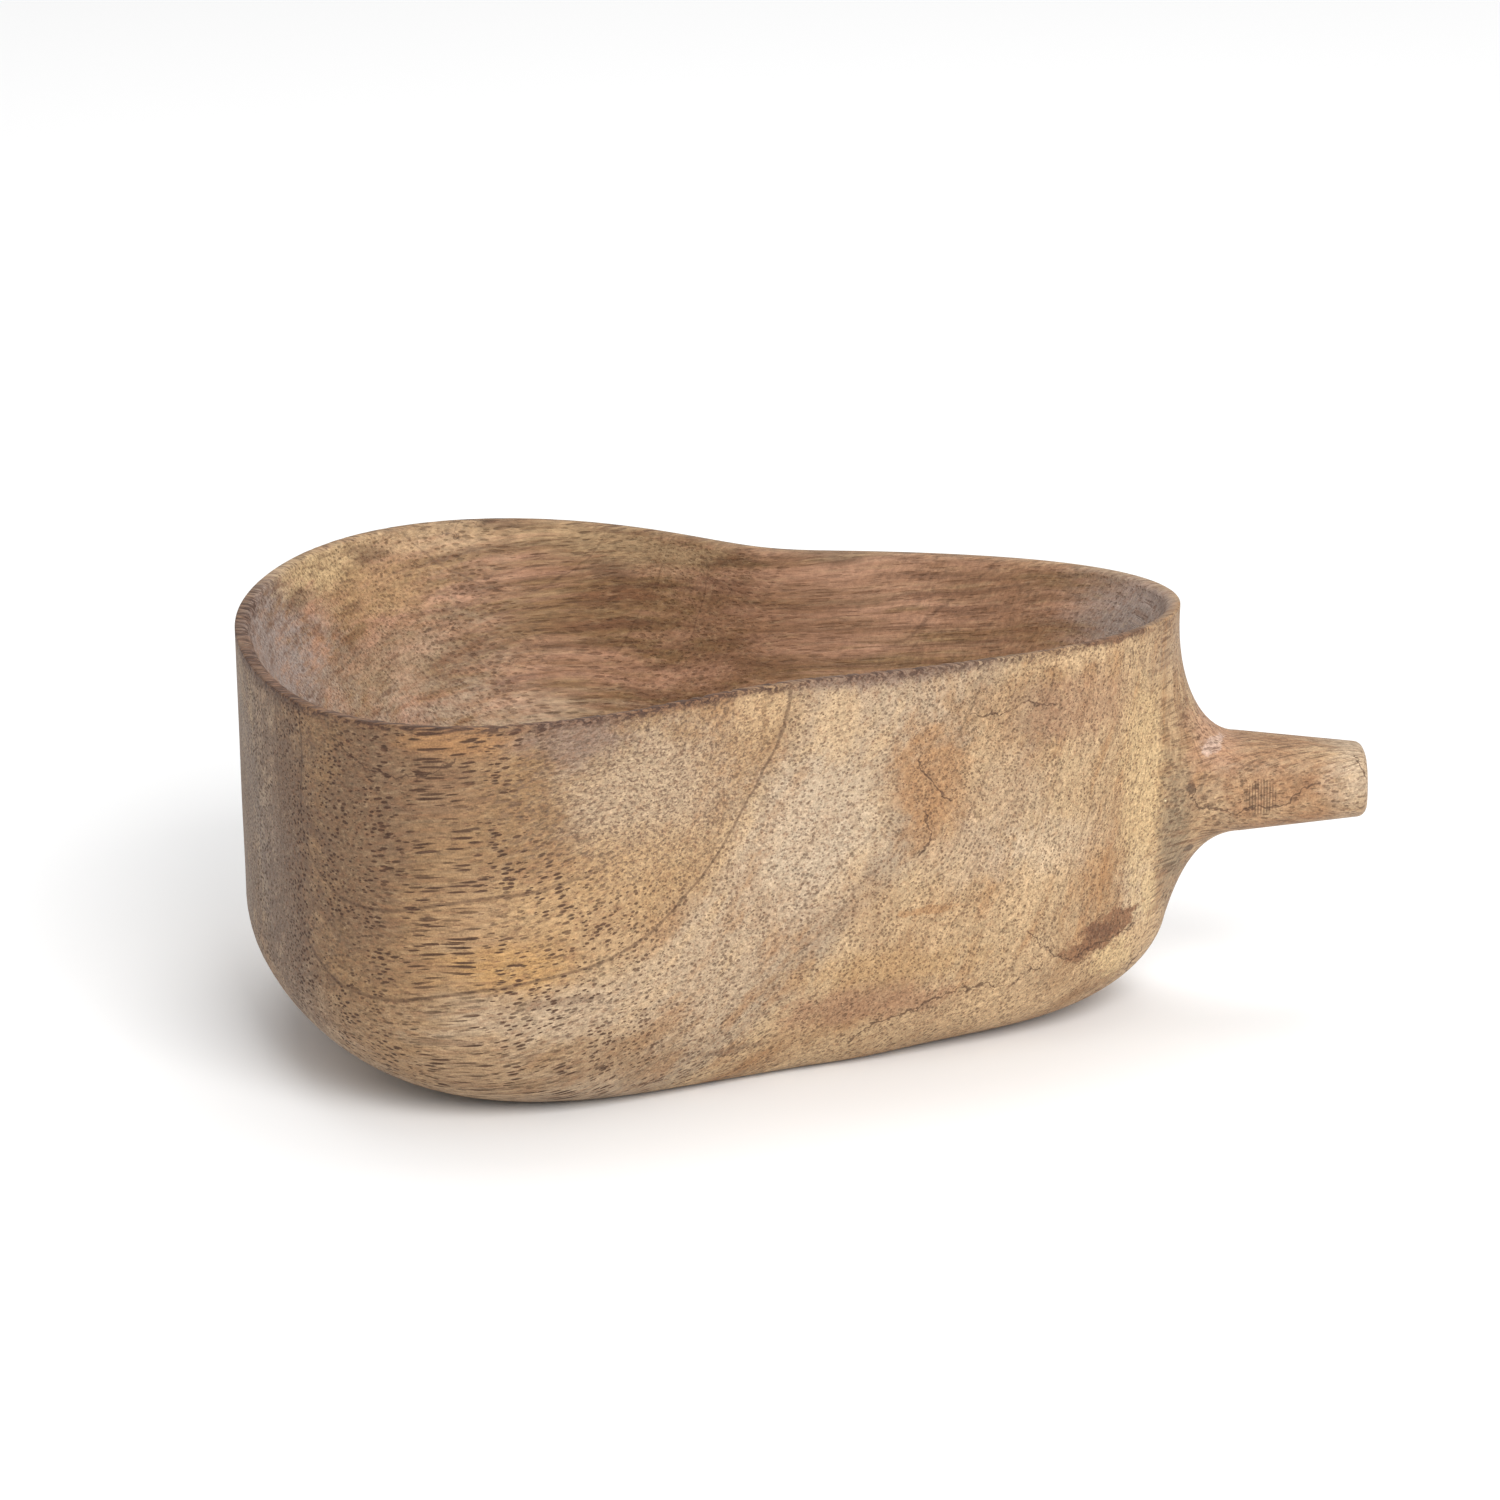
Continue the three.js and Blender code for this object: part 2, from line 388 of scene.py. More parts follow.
def cup_shell():
    shell = Shell()
    angles = np.linspace(0, 2 * math.pi, COLUMNS, endpoint=False)
    heights = wall_rows(angles)
    grid = np.array([shell.add(on_wall(angles, row)) for row in heights])
    first, last = add_handle(shell, grid, angles, heights)
    beside_hole = np.ones(COLUMNS, bool)
    beside_hole[:HOLE_COLUMNS] = False
    beside_hole[-HOLE_COLUMNS:] = False
    for row in range(len(grid) - 1):
        shell.bridge(grid[row], grid[row + 1], beside_hole if first <= row < last else None)
    ring = grid[-1]
    nicks = nick_depths(angles)
    for inset, z in lip_rows():
        inner = inset / LIP_WIDTH
        height = z - nicks * math.sin(math.pi * inner)
        points = bowl_points(angles, rim_radius(angles) - inset, height)
        ring = shell.extend(ring, points, inner)
    for out in np.linspace(1, 0, HOLLOW_ROWS + 1)[1:]:
        ring = shell.extend(ring, hollow_points(angles, out), 1.0)
    shell.fill(ring, angles, floor_points, FLOOR_SIZE, 1.0)
    backwards = np.roll(angles[::-1], 1)
    shell.fill(np.roll(grid[0][::-1], 1), backwards, foot_points, FOOT_SIZE)
    return shell.arrays()


def mesh_object(name, points, hollow, faces, material):
    mesh = bpy.data.meshes.new(name)
    mesh.from_pydata(points.tolist(), [], faces)
    mesh.attributes.new("hollow", "FLOAT", "POINT").data.foreach_set("value", hollow)
    mesh.materials.append(material)
    mesh.shade_smooth()
    piece = bpy.data.objects.new(name, mesh)
    bpy.context.scene.collection.objects.link(piece)
    return piece


def tone(red, green, blue):
    """A colour given as it looks on screen, 0 to 255, turned into a shader's linear colour."""
    return tuple(((value / 255 + 0.055) / 1.055) ** 2.4 for value in (red, green, blue)) + (1.0,)


class Graph:
    """Short calls that add nodes to a material. An input is a number, a vector, a colour or
    another node's output."""

    def __init__(self, tree):
        self.tree = tree

    def node(self, kind, inputs, output=0, **settings):
        made = self.tree.nodes.new("ShaderNode" + kind)
        for name, value in settings.items():
            setattr(made, name, value)
        for name, value in inputs.items():
            self.set(made.inputs[name], value)
        return made.outputs[output]

    def set(self, socket, value):
        if isinstance(value, bpy.types.NodeSocket):
            self.tree.links.new(value, socket)
        else:
            socket.default_value = value

    def math(self, operation, a, b=0.0, c=0.0):
        return self.node("Math", {0: a, 1: b, 2: c}, operation=operation)

    def add(self, a, b):
        return self.math("ADD", a, b)

    def times(self, a, b):
        return self.math("MULTIPLY", a, b)

    def vector(self, operation, a, b=(0, 0, 0)):
        output = 1 if operation in ("DOT_PRODUCT", "LENGTH", "DISTANCE") else 0
        return self.node("VectorMath", {0: a, 1: b}, output, operation=operation)

    def scaled(self, vector, factor):
        return self.node("VectorMath", {0: vector, 3: factor}, operation="SCALE")

    def steps(self, value, low, high, to_low=0.0, to_high=1.0):
        """A smooth step: to_low where the value is at low, and to_high where it is at high."""
        limits = {"From Min": low, "From Max": high, "To Min": to_low, "To Max": to_high}
        return self.node("MapRange", {"Value": value, **limits}, interpolation_type="SMOOTHSTEP")

    def noise(self, place, stretch, detail=2.0, rough=0.5, colour=False):
        """Soft noise whose grains are 1 / stretch long in each direction."""
        stretched = self.vector("MULTIPLY", place, stretch)
        inputs = {"Vector": stretched, "Scale": 1.0, "Detail": detail, "Roughness": rough}
        return self.node("TexNoise", inputs, 1 if colour else 0)

    def centred(self, noise, size):
        """A noise of 0 to 1, moved to lie about 0 and made size times as strong."""
        return self.times(self.add(noise, -0.5), size)

    def sway(self, noise_colour, size):
        """The same for the three channels of a noise's colour, as a vector."""
        return self.scaled(self.vector("SUBTRACT", noise_colour, (0.5, 0.5, 0.5)), size)

    def mix(self, share, a, b, blend="MIX"):
        return self.node("Mix", {0: share, 6: a, 7: b}, 2, data_type="RGBA", blend_type=blend)

    def ramp(self, value, stops):
        """A colour ramp through (position, colour) stops."""
        made = self.tree.nodes.new("ShaderNodeValToRGB")
        made.color_ramp.interpolation = "EASE"
        elements = made.color_ramp.elements
        while len(elements) < len(stops):
            elements.new(0.5)
        for element, (position, colour) in zip(elements, stops):
            element.position = position
            element.color = colour
        self.set(made.inputs[0], value)
        return made.outputs[0]


# The log that the cup was cut from, in millimetres. The fibres run nearly along X, and on the
# front, which begins between the two FIBRE_TURN_Y, they turn into the wood towards the handle. A
# growth ring's number is its distance from the pith, which lies in front of the cup and above it.
# The rings are tall ellipses, and they bend to run straight up above RING_TOP.
FIBRE_SLOPE = 0.158
FIBRE_RISE = 0.097
FIBRE_TURN = 0.6
FIBRE_TURN_X = -4
FIBRE_TURN_LENGTH = 12
FIBRE_TURN_Y = (10.0, -15.0)
RING_SLOPE = 0.053
RING_RISE = 0.158
PITH_Y = -56.1
PITH_Z = 207.9
RING_SQUASH = 0.2
RING_TOP = 55.5
RING_BEND = 8.0
STRONG_RINGS = (28, 32.4, 35.3)
FAINT_RINGS = (39.0, 39.8, 40.5, 41.6, 44.0, 45.6, 48.5)
LATER_RINGS_FROM = 51
LATER_RING_SPACING = 5.2
# How near a line is when it starts to show and when it is full, in ring numbers
RING_LINE_EDGE = (0.09, 0.02)
# How much the fibres drift, the rings tremble as well, and the fungus lines wander
DRIFT = 4.0
TREMBLE = 0.5
WANDER = 3.5

# The wood's tones, and how bright they all are in the end; the lilac white is a painted highlight
WOOD_BRIGHTNESS = 0.88
BEIGE = tone(184, 160, 132)
GREY_BEIGE = tone(170, 149, 124)
SAND = tone(190, 161, 124)
PALE_SAND = tone(206, 174, 134)
PALE_GREY = tone(204, 184, 158)
CREAM = tone(236, 218, 176)
CREAM_SAND = tone(214, 184, 138)
GOLDEN = tone(180, 139, 88)
GOLD_SAND = tone(184, 149, 106)
OCHRE = tone(168, 135, 98)
ORANGE = tone(168, 124, 82)
COPPER = tone(158, 116, 82)
ROSE = tone(190, 146, 118)
TAN = tone(166, 132, 96)
BROWN = tone(146, 114, 80)
UMBER = tone(110, 86, 68)
PINK_BROWN = tone(164, 126, 96)
RED_BROWN = tone(134, 96, 68)
DARK_RED = tone(104, 72, 54)
GREY_BROWN = tone(126, 107, 90)
# Used only for the band at the flare's root, which is partly painted shade
PAINTED_SHADE_GREEN_GREY = tone(146, 125, 98)
PURPLE_GREY = tone(134, 112, 98)
LILAC_GREY = tone(162, 150, 144)
# Used only for a painted highlight on the flare
PAINTED_HIGHLIGHT = tone(222, 198, 184)
DARK = tone(76, 52, 38)
BLACK_BROWN = tone(58, 44, 38)

# Tones by ring, from the front backwards: (ring number, colour). The ramp through them ends at
# LAST_RING, and RING_GRAIN says how much finer the rings' own grain is across them.
RING_TONES = (
    (24, BROWN), (31, BROWN), (33, TAN), (35.1, OCHRE), (36.2, BEIGE), (40, BEIGE),
    (42, GREY_BEIGE), (43.6, SAND), (45.5, TAN), (48, SAND), (60, TAN), (80, BEIGE), (110, BROWN),
)
LAST_RING = 160
RING_GRAIN = 2.5

# Colour patches of the outside and of the hollow: (centre, half sizes, colour, strength), in
# millimetres in the cup's frame. A few are partly painted shade, painted light or a painted
# highlight, as noted at each. A fade says where patches start and end to fade, in shares of their
# half sizes, and a raggedness is how far their edges stray, in the same shares.
PATCH_FADE = (0.35, 1.25)
PATCH_RAGGEDNESS = 1.9
SPOT_FADE = (0.7, 1.1)
SPOT_RAGGEDNESS = 2.6
HOLLOW_RAGGEDNESS = 2.0
OUTSIDE_PATCHES = (
    # The left end: grey-brown end grain, darkened further as painted shade on the side turned from
    # the key light
    ((-90, -5, 35), (12, 50, 52), GREY_BROWN, 0.9),
    ((-69, -50, 30), (14, 18, 40), BROWN, 0.85),
    ((-80, -38, 38), (8, 16, 42), UMBER, 0.85),
    ((-69, -49, 46), (9, 14, 26), UMBER, 0.6),
    ((-62, -54, 57), (12, 14, 10), UMBER, 0.5),
    ((-53, -56, 63), (9, 14, 3), ORANGE, 0.8),
    ((-46, -56, 27), (13, 14, 4.5), GOLDEN, 0.8),
    ((-41, -54, 36), (9, 14, 7), GOLD_SAND, 0.6),
    ((-24, -50, 52), (16, 16, 12), BEIGE, 0.8),
    ((-26, -49, 40), (13, 16, 8), GOLD_SAND, 0.6),
    ((-36, -53, 63.5), (10, 14, 6), PURPLE_GREY, 0.85),
    ((-31, -52, 27), (8, 14, 5), SAND, 0.5),
    ((-54, -50, 10), (17, 24, 10), OCHRE, 0.7),
    ((-32, -50, 10), (15, 16, 6), BROWN, 0.6),
    ((7, -35, 29), (7, 12, 6), TAN, 0.45),
    ((18.5, -32, 46), (8, 12, 12), ORANGE, 0.8),
    ((27, -29, 58), (8, 12, 6), TAN, 0.6),
    ((36, -26, 55), (7, 12, 6), PURPLE_GREY, 0.35),
    ((13, -34, 17.5), (17, 12, 3.6), GOLD_SAND, 0.75),
    ((8, -34, 11.5), (18, 12, 3.4), PINK_BROWN, 0.8),
    ((8, -32, 4), (15, 14, 3.5), SAND, 0.6),
    ((31, -24, 6), (13, 12, 5.5), PALE_SAND, 0.85),
    ((37, -24, 30), (6, 10, 6), PALE_SAND, 0.6),
    ((44, -20, 28), (4.5, 10, 7), ORANGE, 0.5),
    ((52, -12, 12), (8, 12, 9), PALE_SAND, 0.9),
    ((43, -20, 55), (9, 12, 7), PINK_BROWN, 0.65),
    ((30, -27, 42), (9, 12, 9), BEIGE, 0.5),
    ((38, -24, 33), (11, 12, 5), PALE_GREY, 0.35),
    ((25, -29, 34), (9, 12, 6), PALE_GREY, 0.35),
    # Pale grey in the front's middle, partly the wood's tone and partly painted light where the
    # front is lit most
    ((0, -38, 40), (12, 14, 13), PALE_GREY, 0.6),
    ((51, -14, 23), (4, 9, 7), PALE_GREY, 0.5),
    ((51.6, -13, 38), (4.6, 10, 22), CREAM_SAND, 0.7),
    # A greenish-grey band at the flare's root: partly the wood's tone, partly painted shade where
    # the wall turns away
    ((56.8, -6, 31), (3.4, 9, 15), PAINTED_SHADE_GREEN_GREY, 1.0),
    # Rose on the flare, partly the wood's pink and partly a painted highlight
    ((64, -3, 44), (6, 12, 6), ROSE, 0.7),
    ((74, 0, 35), (13, 14, 11), COPPER, 0.8),
    ((86, 0, 37), (6, 12, 8), PALE_GREY, 0.6),
    ((42, -23, 63.5), (8, 10, 2.4), PALE_SAND, 0.9),
    ((12, -36, 65), (18, 14, 2.8), PURPLE_GREY, 0.85),
    ((-20, -46, 65.3), (13, 12, 1.7), RED_BROWN, 0.8),
    ((-82, -25, 65.5), (14, 28, 3.5), UMBER, 0.8),
    ((-40, 56, 22), (24, 20, 12), GOLD_SAND, 0.7),
    ((-62, 50, 50), (18, 20, 14), GREY_BROWN, 0.6),
    ((-8, 42, 50), (14, 16, 16), PURPLE_GREY, 0.5),
    ((22, 30, 20), (22, 14, 10), ORANGE, 0.6),
    ((44, 20, 44), (12, 12, 18), PALE_SAND, 0.7),
    ((-20, 44, 8), (26, 20, 7), BROWN, 0.6),
)
# Small spots with clearer edges, one of them a painted highlight on the flare
OUTSIDE_SPOTS = (
    ((47, -17, 12), (4.5, 8, 4), CREAM_SAND, 0.8),
    ((53, -10, 21), (1.6, 6, 5), CREAM_SAND, 0.7),
    ((41, -20, 14.8), (3.0, 9, 1.6), RED_BROWN, 0.85),
    ((44, -19, 16.4), (3.8, 9, 2.4), RED_BROWN, 0.95),
    ((47.5, -18, 18.4), (3.8, 9, 2.2), RED_BROWN, 0.95),
    ((45, -19, 17.4), (2.6, 8, 1.2), DARK_RED, 0.6),
    ((47, -18, 65.3), (7, 8, 1.2), DARK_RED, 0.8),
    ((59.8, -5, 36.8), (0.9, 7, 1.6), BLACK_BROWN, 0.7),
    # A painted highlight: a small lilac-white gleam on the flare's top
    ((63.4, -4.6, 42.8), (2.4, 5, 1.3), PAINTED_HIGHLIGHT, 0.5),
    ((17, -33, 26), (5, 8, 0.8), ORANGE, 0.6),
    ((-12, -44, 7), (7, 9, 1.0), UMBER, 0.55),
    ((-40, -55, 21), (9, 9, 0.9), UMBER, 0.45),
    ((-57, -55, 15), (7, 9, 0.8), UMBER, 0.45),
    ((59.6, -3, 26.4), (1.2, 7, 0.9), BLACK_BROWN, 0.7),
    ((58.3, -3, 49), (1.4, 7, 2.2), DARK_RED, 0.7),
    ((55.6, -8, 36), (0.4, 4, 0.5), CREAM, 0.9),
    ((16, 34, 40), (4, 8, 2.5), DARK_RED, 0.6),
    ((-58, 54, 34), (5, 8, 2), DARK_RED, 0.5),
)
HOLLOW_TONES = ((0.3, RED_BROWN), (0.42, BROWN), (0.5, PINK_BROWN), (0.62, ROSE), (0.75, BROWN))
HOLLOW_PATCHES = (
    ((-88, 4, 50), (19, 40, 28), LILAC_GREY, 0.95),
    ((-62, 20, 34), (20, 26, 12), LILAC_GREY, 0.55),
    ((-60, 30, 46), (20, 26, 8), GREY_BEIGE, 0.6),
    ((-76, 38, 63), (12, 16, 5), CREAM_SAND, 0.95),
    ((-66, 46, 57), (14, 16, 5), GOLD_SAND, 0.7),
    # Beige low on the back wall, partly paler wood and partly painted light where the wall turns
    # up
    ((-40, 34, 35), (20, 16, 6), BEIGE, 0.75),
    ((-55, 56, 64), (36, 16, 3.8), PALE_SAND, 0.8),
    ((-20, 47, 62), (20, 12, 4), SAND, 0.8),
    # Red-brown heartwood in the back wall's middle, darkened further as painted shade
    ((-4, 32, 52), (18, 16, 11), RED_BROWN, 0.5),
    ((14, 28, 61), (13, 10, 4), ROSE, 0.5),
    ((34, 22, 56), (15, 14, 9), RED_BROWN, 0.5),
    ((58, 4, 58), (20, 24, 14), LILAC_GREY, 0.8),
    ((-66, 30, 50), (7, 10, 3.4), UMBER, 0.55),
    ((-79, 31, 60), (4, 9, 2.0), UMBER, 0.6),
    ((-68, 48, 62), (4, 6, 1.8), UMBER, 0.5),
    ((8, 33, 64.5), (5, 8, 2), UMBER, 0.7),
    ((-46, 58, 64.5), (5, 8, 1.8), UMBER, 0.6),
    ((-28, 50, 58), (5, 8, 1.5), UMBER, 0.6),
)
# The grain's light and dark: how strong its specks and its longer flecks are
SPECKLE = 1.1
MOTTLE = 1.5

# Pores: (spacing along the fibres and across them), (smallest and largest size as a share of it)
LARGE_PORES = ((6.4, 0.52), (0.18, 0.56))
SMALL_PORES = ((2.0, 0.42), (0.08, 0.42))

# How strongly the dark layers cover the wood, from 0 to 1
RING_LINE_COVER = 0.55
FUNGUS_COVER = 0.75
PORE_COVER = 0.95
STRIPE_COVER = 0.6
RIM_COVER = 0.9
RIM_CUT_COVER = 0.6

# How high the relief of each layer stands, in millimetres before RELIEF_STRENGTH
PORE_RELIEF = -0.14
STREAK_RELIEF = 0.12
SPECK_RELIEF = 0.06
RIM_RELIEF = -0.12
RELIEF_STRENGTH = 0.6

# Where the front has few large pores and many hair-thin lines
QUIET_PLACE = (-27, -50, 54)
QUIET_SIZE = (20, 30, 15)

# Chatter marks on the stem: (X, Z), half sizes and spacing
STRIPES_AT = (71, 34.8)
STRIPES_SIZE = (2.8, 3.4)
STRIPE_SPACING = 0.46

# Thin dark fungus lines on the front, as chains of (X, Z) points
FUNGUS_LINES = (
    ((5, 5), (7.5, 7.5), (14, 9), (21, 11.6), (26, 12.2)),
    ((24, 12), (30, 11.6), (35, 13.4)),
    ((33, 20), (37, 15.5), (40, 14.2), (46, 15.8), (50.5, 17)),
    ((49, 5), (50, 9), (52.5, 12)),
    ((16, 50.5), (17.5, 47), (21, 43.5)),
    ((17, 42), (18.5, 38.5), (16.5, 35)),
    ((24, 57), (29, 55.5), (33, 57.5), (38, 56)),
    ((-72, 61), (-67.5, 57.8), (-61.8, 56.8), (-57.5, 58), (-54, 60.2)),
    ((60.6, 37.2), (59.8, 35.6), (61.5, 33.6), (66, 32.6), (75, 33.4), (78.6, 36.8)),
    ((78.6, 36.8), (80.4, 36.6)),
    ((86.4, 40), (87.4, 37)),
)


def add_patches(g, colour, patches, place, ragged, fade=PATCH_FADE):
    """Lays ragged patches over a colour."""
    for centre, half_sizes, patch_colour, strength in patches:
        offset = g.vector("DIVIDE", g.vector("SUBTRACT", place, centre), half_sizes)
        reach = g.add(g.vector("LENGTH", offset), ragged)
        colour = g.mix(g.steps(reach, *fade, strength, 0.0), colour, patch_colour)
    return colour


def nearest_level(g, value, levels):
    gaps = [g.math("ABSOLUTE", g.math("SUBTRACT", value, float(level))) for level in levels]
    nearest = gaps[0]
    for gap in gaps[1:]:
        nearest = g.math("MINIMUM", nearest, gap)
    return nearest


def ring_line_mask(g, ring, place):
    """Thin lines at the growth rings: the clearest ones on the front, and broken fainter ones."""
    strong = g.steps(nearest_level(g, ring, STRONG_RINGS), *RING_LINE_EDGE)
    x = g.node("SeparateXYZ", {0: place}, 0)
    inner_end = g.steps(x, -42.0, -28.0, 1.0, 0.1)
    strong = g.times(strong, g.math("MAXIMUM", inner_end, g.steps(ring, 34.0, 34.2)))
    faint = g.steps(nearest_level(g, ring, FAINT_RINGS), *RING_LINE_EDGE, 0.0, 0.6)
    later = g.steps(g.math("PINGPONG", ring, LATER_RING_SPACING / 2), 0.12, 0.02)
    later = g.times(later, g.steps(ring, LATER_RINGS_FROM - 1, LATER_RINGS_FROM, 0.0, 0.7))
    broken = g.steps(g.noise(place, (0.09, 0.09, 0.09), detail=3.0), 0.34, 0.62, 0.1, 0.9)
    return g.math("MAXIMUM", strong, g.times(g.math("MAXIMUM", faint, later), broken))


def nearest_fungus_line(g, place):
    """How far a place is from the nearest of FUNGUS_LINES, as seen from the front."""
    on_front = g.vector("MULTIPLY", place, (1, 0, 1))
    nearest = None
    for line in FUNGUS_LINES:
        for start, end in zip(line, line[1:]):
            begin = Vector((start[0], 0, start[1]))
            span = Vector((end[0], 0, end[1])) - begin
            offset = g.vector("SUBTRACT", on_front, begin)
            share = g.vector("DOT_PRODUCT", offset, span / span.length_squared)
            share = g.math("MINIMUM", g.math("MAXIMUM", share, 0.0), 1.0)
            gap = g.vector("DISTANCE", offset, g.scaled(span, share))
            nearest = gap if nearest is None else g.math("MINIMUM", nearest, gap)
    return nearest


def fungus_line_mask(g, place, wobble):
    """Dark wandering lines: the chains on the front, and loose loops elsewhere."""
    wandering = g.vector("ADD", place, wobble)
    y = g.node("SeparateXYZ", {0: place}, 1)
    front = g.steps(y, 2.0, 0.0)
    width = g.steps(g.noise(place, (0.4, 0.4, 0.4)), 0.3, 0.7, 0.1, 0.32)
    gap = g.math("DIVIDE", nearest_fungus_line(g, wandering), width)
    drawn = g.times(g.steps(gap, 1.0, 0.3), front)
    field = g.noise(wandering, (0.045, 0.09, 0.09), detail=4.0, rough=0.6)
    loops = g.steps(g.math("ABSOLUTE", g.math("SUBTRACT", field, 0.5)), 0.006, 0.001)
    where = g.steps(g.noise(place, (0.018, 0.025, 0.025), detail=1.0), 0.52, 0.62)
    behind = g.steps(y, -8.0, 4.0)
    return g.math("MAXIMUM", drawn, g.times(g.times(loops, where), behind))


def pore_mask(g, log, spacing, sizes):
    """Open vessels: long thin spindles along the fibres, seen as dashes on the sides and as dots
    on the end grain. Each has a size of its own."""
    along, across = spacing
    place = g.vector("MULTIPLY", log, (1 / along, 1 / across, 1 / across))
    made = g.tree.nodes.new("ShaderNodeTexVoronoi")
    for name, value in {"Vector": place, "Scale": 1.0, "Randomness": 1.0}.items():
        g.set(made.inputs[name], value)
    random_share = g.node("SeparateColor", {0: made.outputs["Color"]})
    own_size = g.steps(random_share, 0.0, 1.0, *sizes)
    return g.steps(g.math("DIVIDE", made.outputs["Distance"], own_size), 0.95, 0.6)


def log_place(g, place, y):
    """A place along the fibres, across them and upwards."""
    along = g.node("SeparateXYZ", {0: place}, 0)
    past = g.add(along, -FIBRE_TURN_X)
    reach = g.math("SQRT", g.math("MULTIPLY_ADD", past, past, FIBRE_TURN_LENGTH ** 2))
    on_front = g.steps(y, *FIBRE_TURN_Y, 0.0, FIBRE_TURN / 2)
    turn = g.times(g.add(past, reach), on_front)
    across = g.add(g.vector("DOT_PRODUCT", place, (FIBRE_SLOPE, 1, 0)), turn)
    upwards = g.vector("DOT_PRODUCT", place, (-FIBRE_RISE, 0, 1))
    return g.node("CombineXYZ", {0: along, 1: across, 2: upwards})


def ring_number(g, place):
    across = g.add(g.vector("DOT_PRODUCT", place, (RING_SLOPE, 1, 0)), -PITH_Y)
    level = g.vector("DOT_PRODUCT", place, (-RING_RISE, 0, 1))
    rise = g.add(g.math("SMOOTH_MIN", level, RING_TOP, RING_BEND), -PITH_Z)
    return g.vector("LENGTH", g.node("CombineXYZ", {1: across, 2: g.times(rise, RING_SQUASH)}))


def stem_stripe_mask(g, x, height):
    """Faint chatter marks across the stem, as regular stripes in a small oval."""
    across = g.math("DIVIDE", g.math("SUBTRACT", x, STRIPES_AT[0]), STRIPES_SIZE[0])
    rise = g.math("DIVIDE", g.math("SUBTRACT", height, STRIPES_AT[1]), STRIPES_SIZE[1])
    reach = g.vector("LENGTH", g.node("CombineXYZ", {0: across, 1: rise}))
    stripes = g.math("SINE", g.times(x, 2 * math.pi / STRIPE_SPACING))
    return g.times(g.steps(stripes, -0.2, 0.8), g.steps(reach, 1.0, 0.7))


def wood_fields(g):
    """Where a point lies in the cup and in the log, and the noises that several layers share."""
    metres = g.node("TexCoord", {}, 3)
    place = g.scaled(metres, 1 / MM)
    coarse = g.noise(place, (0.03, 0.04, 0.04), detail=2.0, rough=0.5, colour=True)
    fine = g.noise(place, (0.35, 0.5, 0.5), detail=3.0, rough=0.6, colour=True)
    calm = g.vector("ADD", place, g.sway(coarse, DRIFT))
    trembling = g.vector("ADD", calm, g.sway(fine, TREMBLE))
    x, y, height = (g.node("SeparateXYZ", {0: place}, axis) for axis in range(3))
    log = log_place(g, calm, y)
    ring = ring_number(g, trembling)
    return SimpleNamespace(
        place=place,
        x=x,
        y=y,
        height=height,
        log=log,
        ring=ring,
        ring_place=g.node("CombineXYZ", {0: g.times(ring, RING_GRAIN), 1: x, 2: height}),
        hollow=g.node("Attribute", {}, 2, attribute_name="hollow"),
        ragged=g.noise(log, (0.10, 0.32, 0.32), detail=5.0, rough=0.65),
        cloud=g.noise(log, (0.02, 0.05, 0.05), detail=3.0, rough=0.55),
        streaks=g.noise(log, (0.06, 1.3, 1.3), detail=4.0, rough=0.65),
        speckle=g.noise(place, (3.4, 3.4, 3.4), detail=2.0, rough=0.75),
    )


def outside_colour(g, at):
    """The outside's colour: tones by ring, clouds, flames that follow the rings, and patches, some
    of them partly painted shade, painted light or a painted highlight.
    """
    colour = g.ramp(g.times(at.ring, 1 / LAST_RING), [(r / LAST_RING, c) for r, c in RING_TONES])
    colour = g.mix(g.steps(at.cloud, 0.5, 0.75, 0.0, 0.45), colour, PINK_BROWN)
    colour = g.mix(g.steps(at.cloud, 0.48, 0.25, 0.0, 0.4), colour, GREY_BEIGE)
    flames = g.noise(at.ring_place, (0.28, 0.06, 0.06), detail=4.0, rough=0.6)
    to_the_right = g.steps(at.x, -48.0, -15.0, 0.2, 1.0)
    flamed = g.math("MAXIMUM", to_the_right, g.steps(at.y, -10.0, 20.0))
    colour = g.mix(g.times(g.steps(flames, 0.5, 0.66, 0.0, 0.55), flamed), colour, ORANGE)
    colour = g.mix(g.times(g.steps(flames, 0.5, 0.34, 0.0, 0.6), flamed), colour, PALE_SAND)
    ragged = g.centred(at.ragged, PATCH_RAGGEDNESS)
    colour = add_patches(g, colour, OUTSIDE_PATCHES, at.place, ragged)
    frayed = g.noise(at.place, (0.28, 0.28, 0.5), detail=4.0, rough=0.7)
    frayed = g.centred(frayed, SPOT_RAGGEDNESS)
    return add_patches(g, colour, OUTSIDE_SPOTS, at.place, frayed, SPOT_FADE)


def hollow_colour(g, at):
    """The hollow's colour: broad and narrow bands along the fibres, and patches, some of them
    partly painted shade or painted light. Both are calmer at the handle's end, where the wall
    crosses the fibres."""
    calmer = g.steps(at.x, 28.0, 52.0, 1.0, 0.3)
    bands = g.noise(at.log, (0.022, 0.09, 0.24), detail=4.0, rough=0.6)
    colour = g.ramp(bands, HOLLOW_TONES)
    layered = g.noise(at.log, (0.05, 0.16, 0.6), detail=4.0, rough=0.65)
    layered = g.times(g.centred(layered, HOLLOW_RAGGEDNESS), calmer)
    colour = add_patches(g, colour, HOLLOW_PATCHES, at.place, layered)
    narrow = g.noise(at.log, (0.03, 0.16, 0.75), detail=4.0, rough=0.65)
    colour = g.mix(g.times(g.steps(narrow, 0.48, 0.68, 0.0, 0.6), calmer), colour, DARK_RED)
    return g.mix(g.times(g.steps(narrow, 0.48, 0.3, 0.0, 0.4), calmer), colour, ROSE)


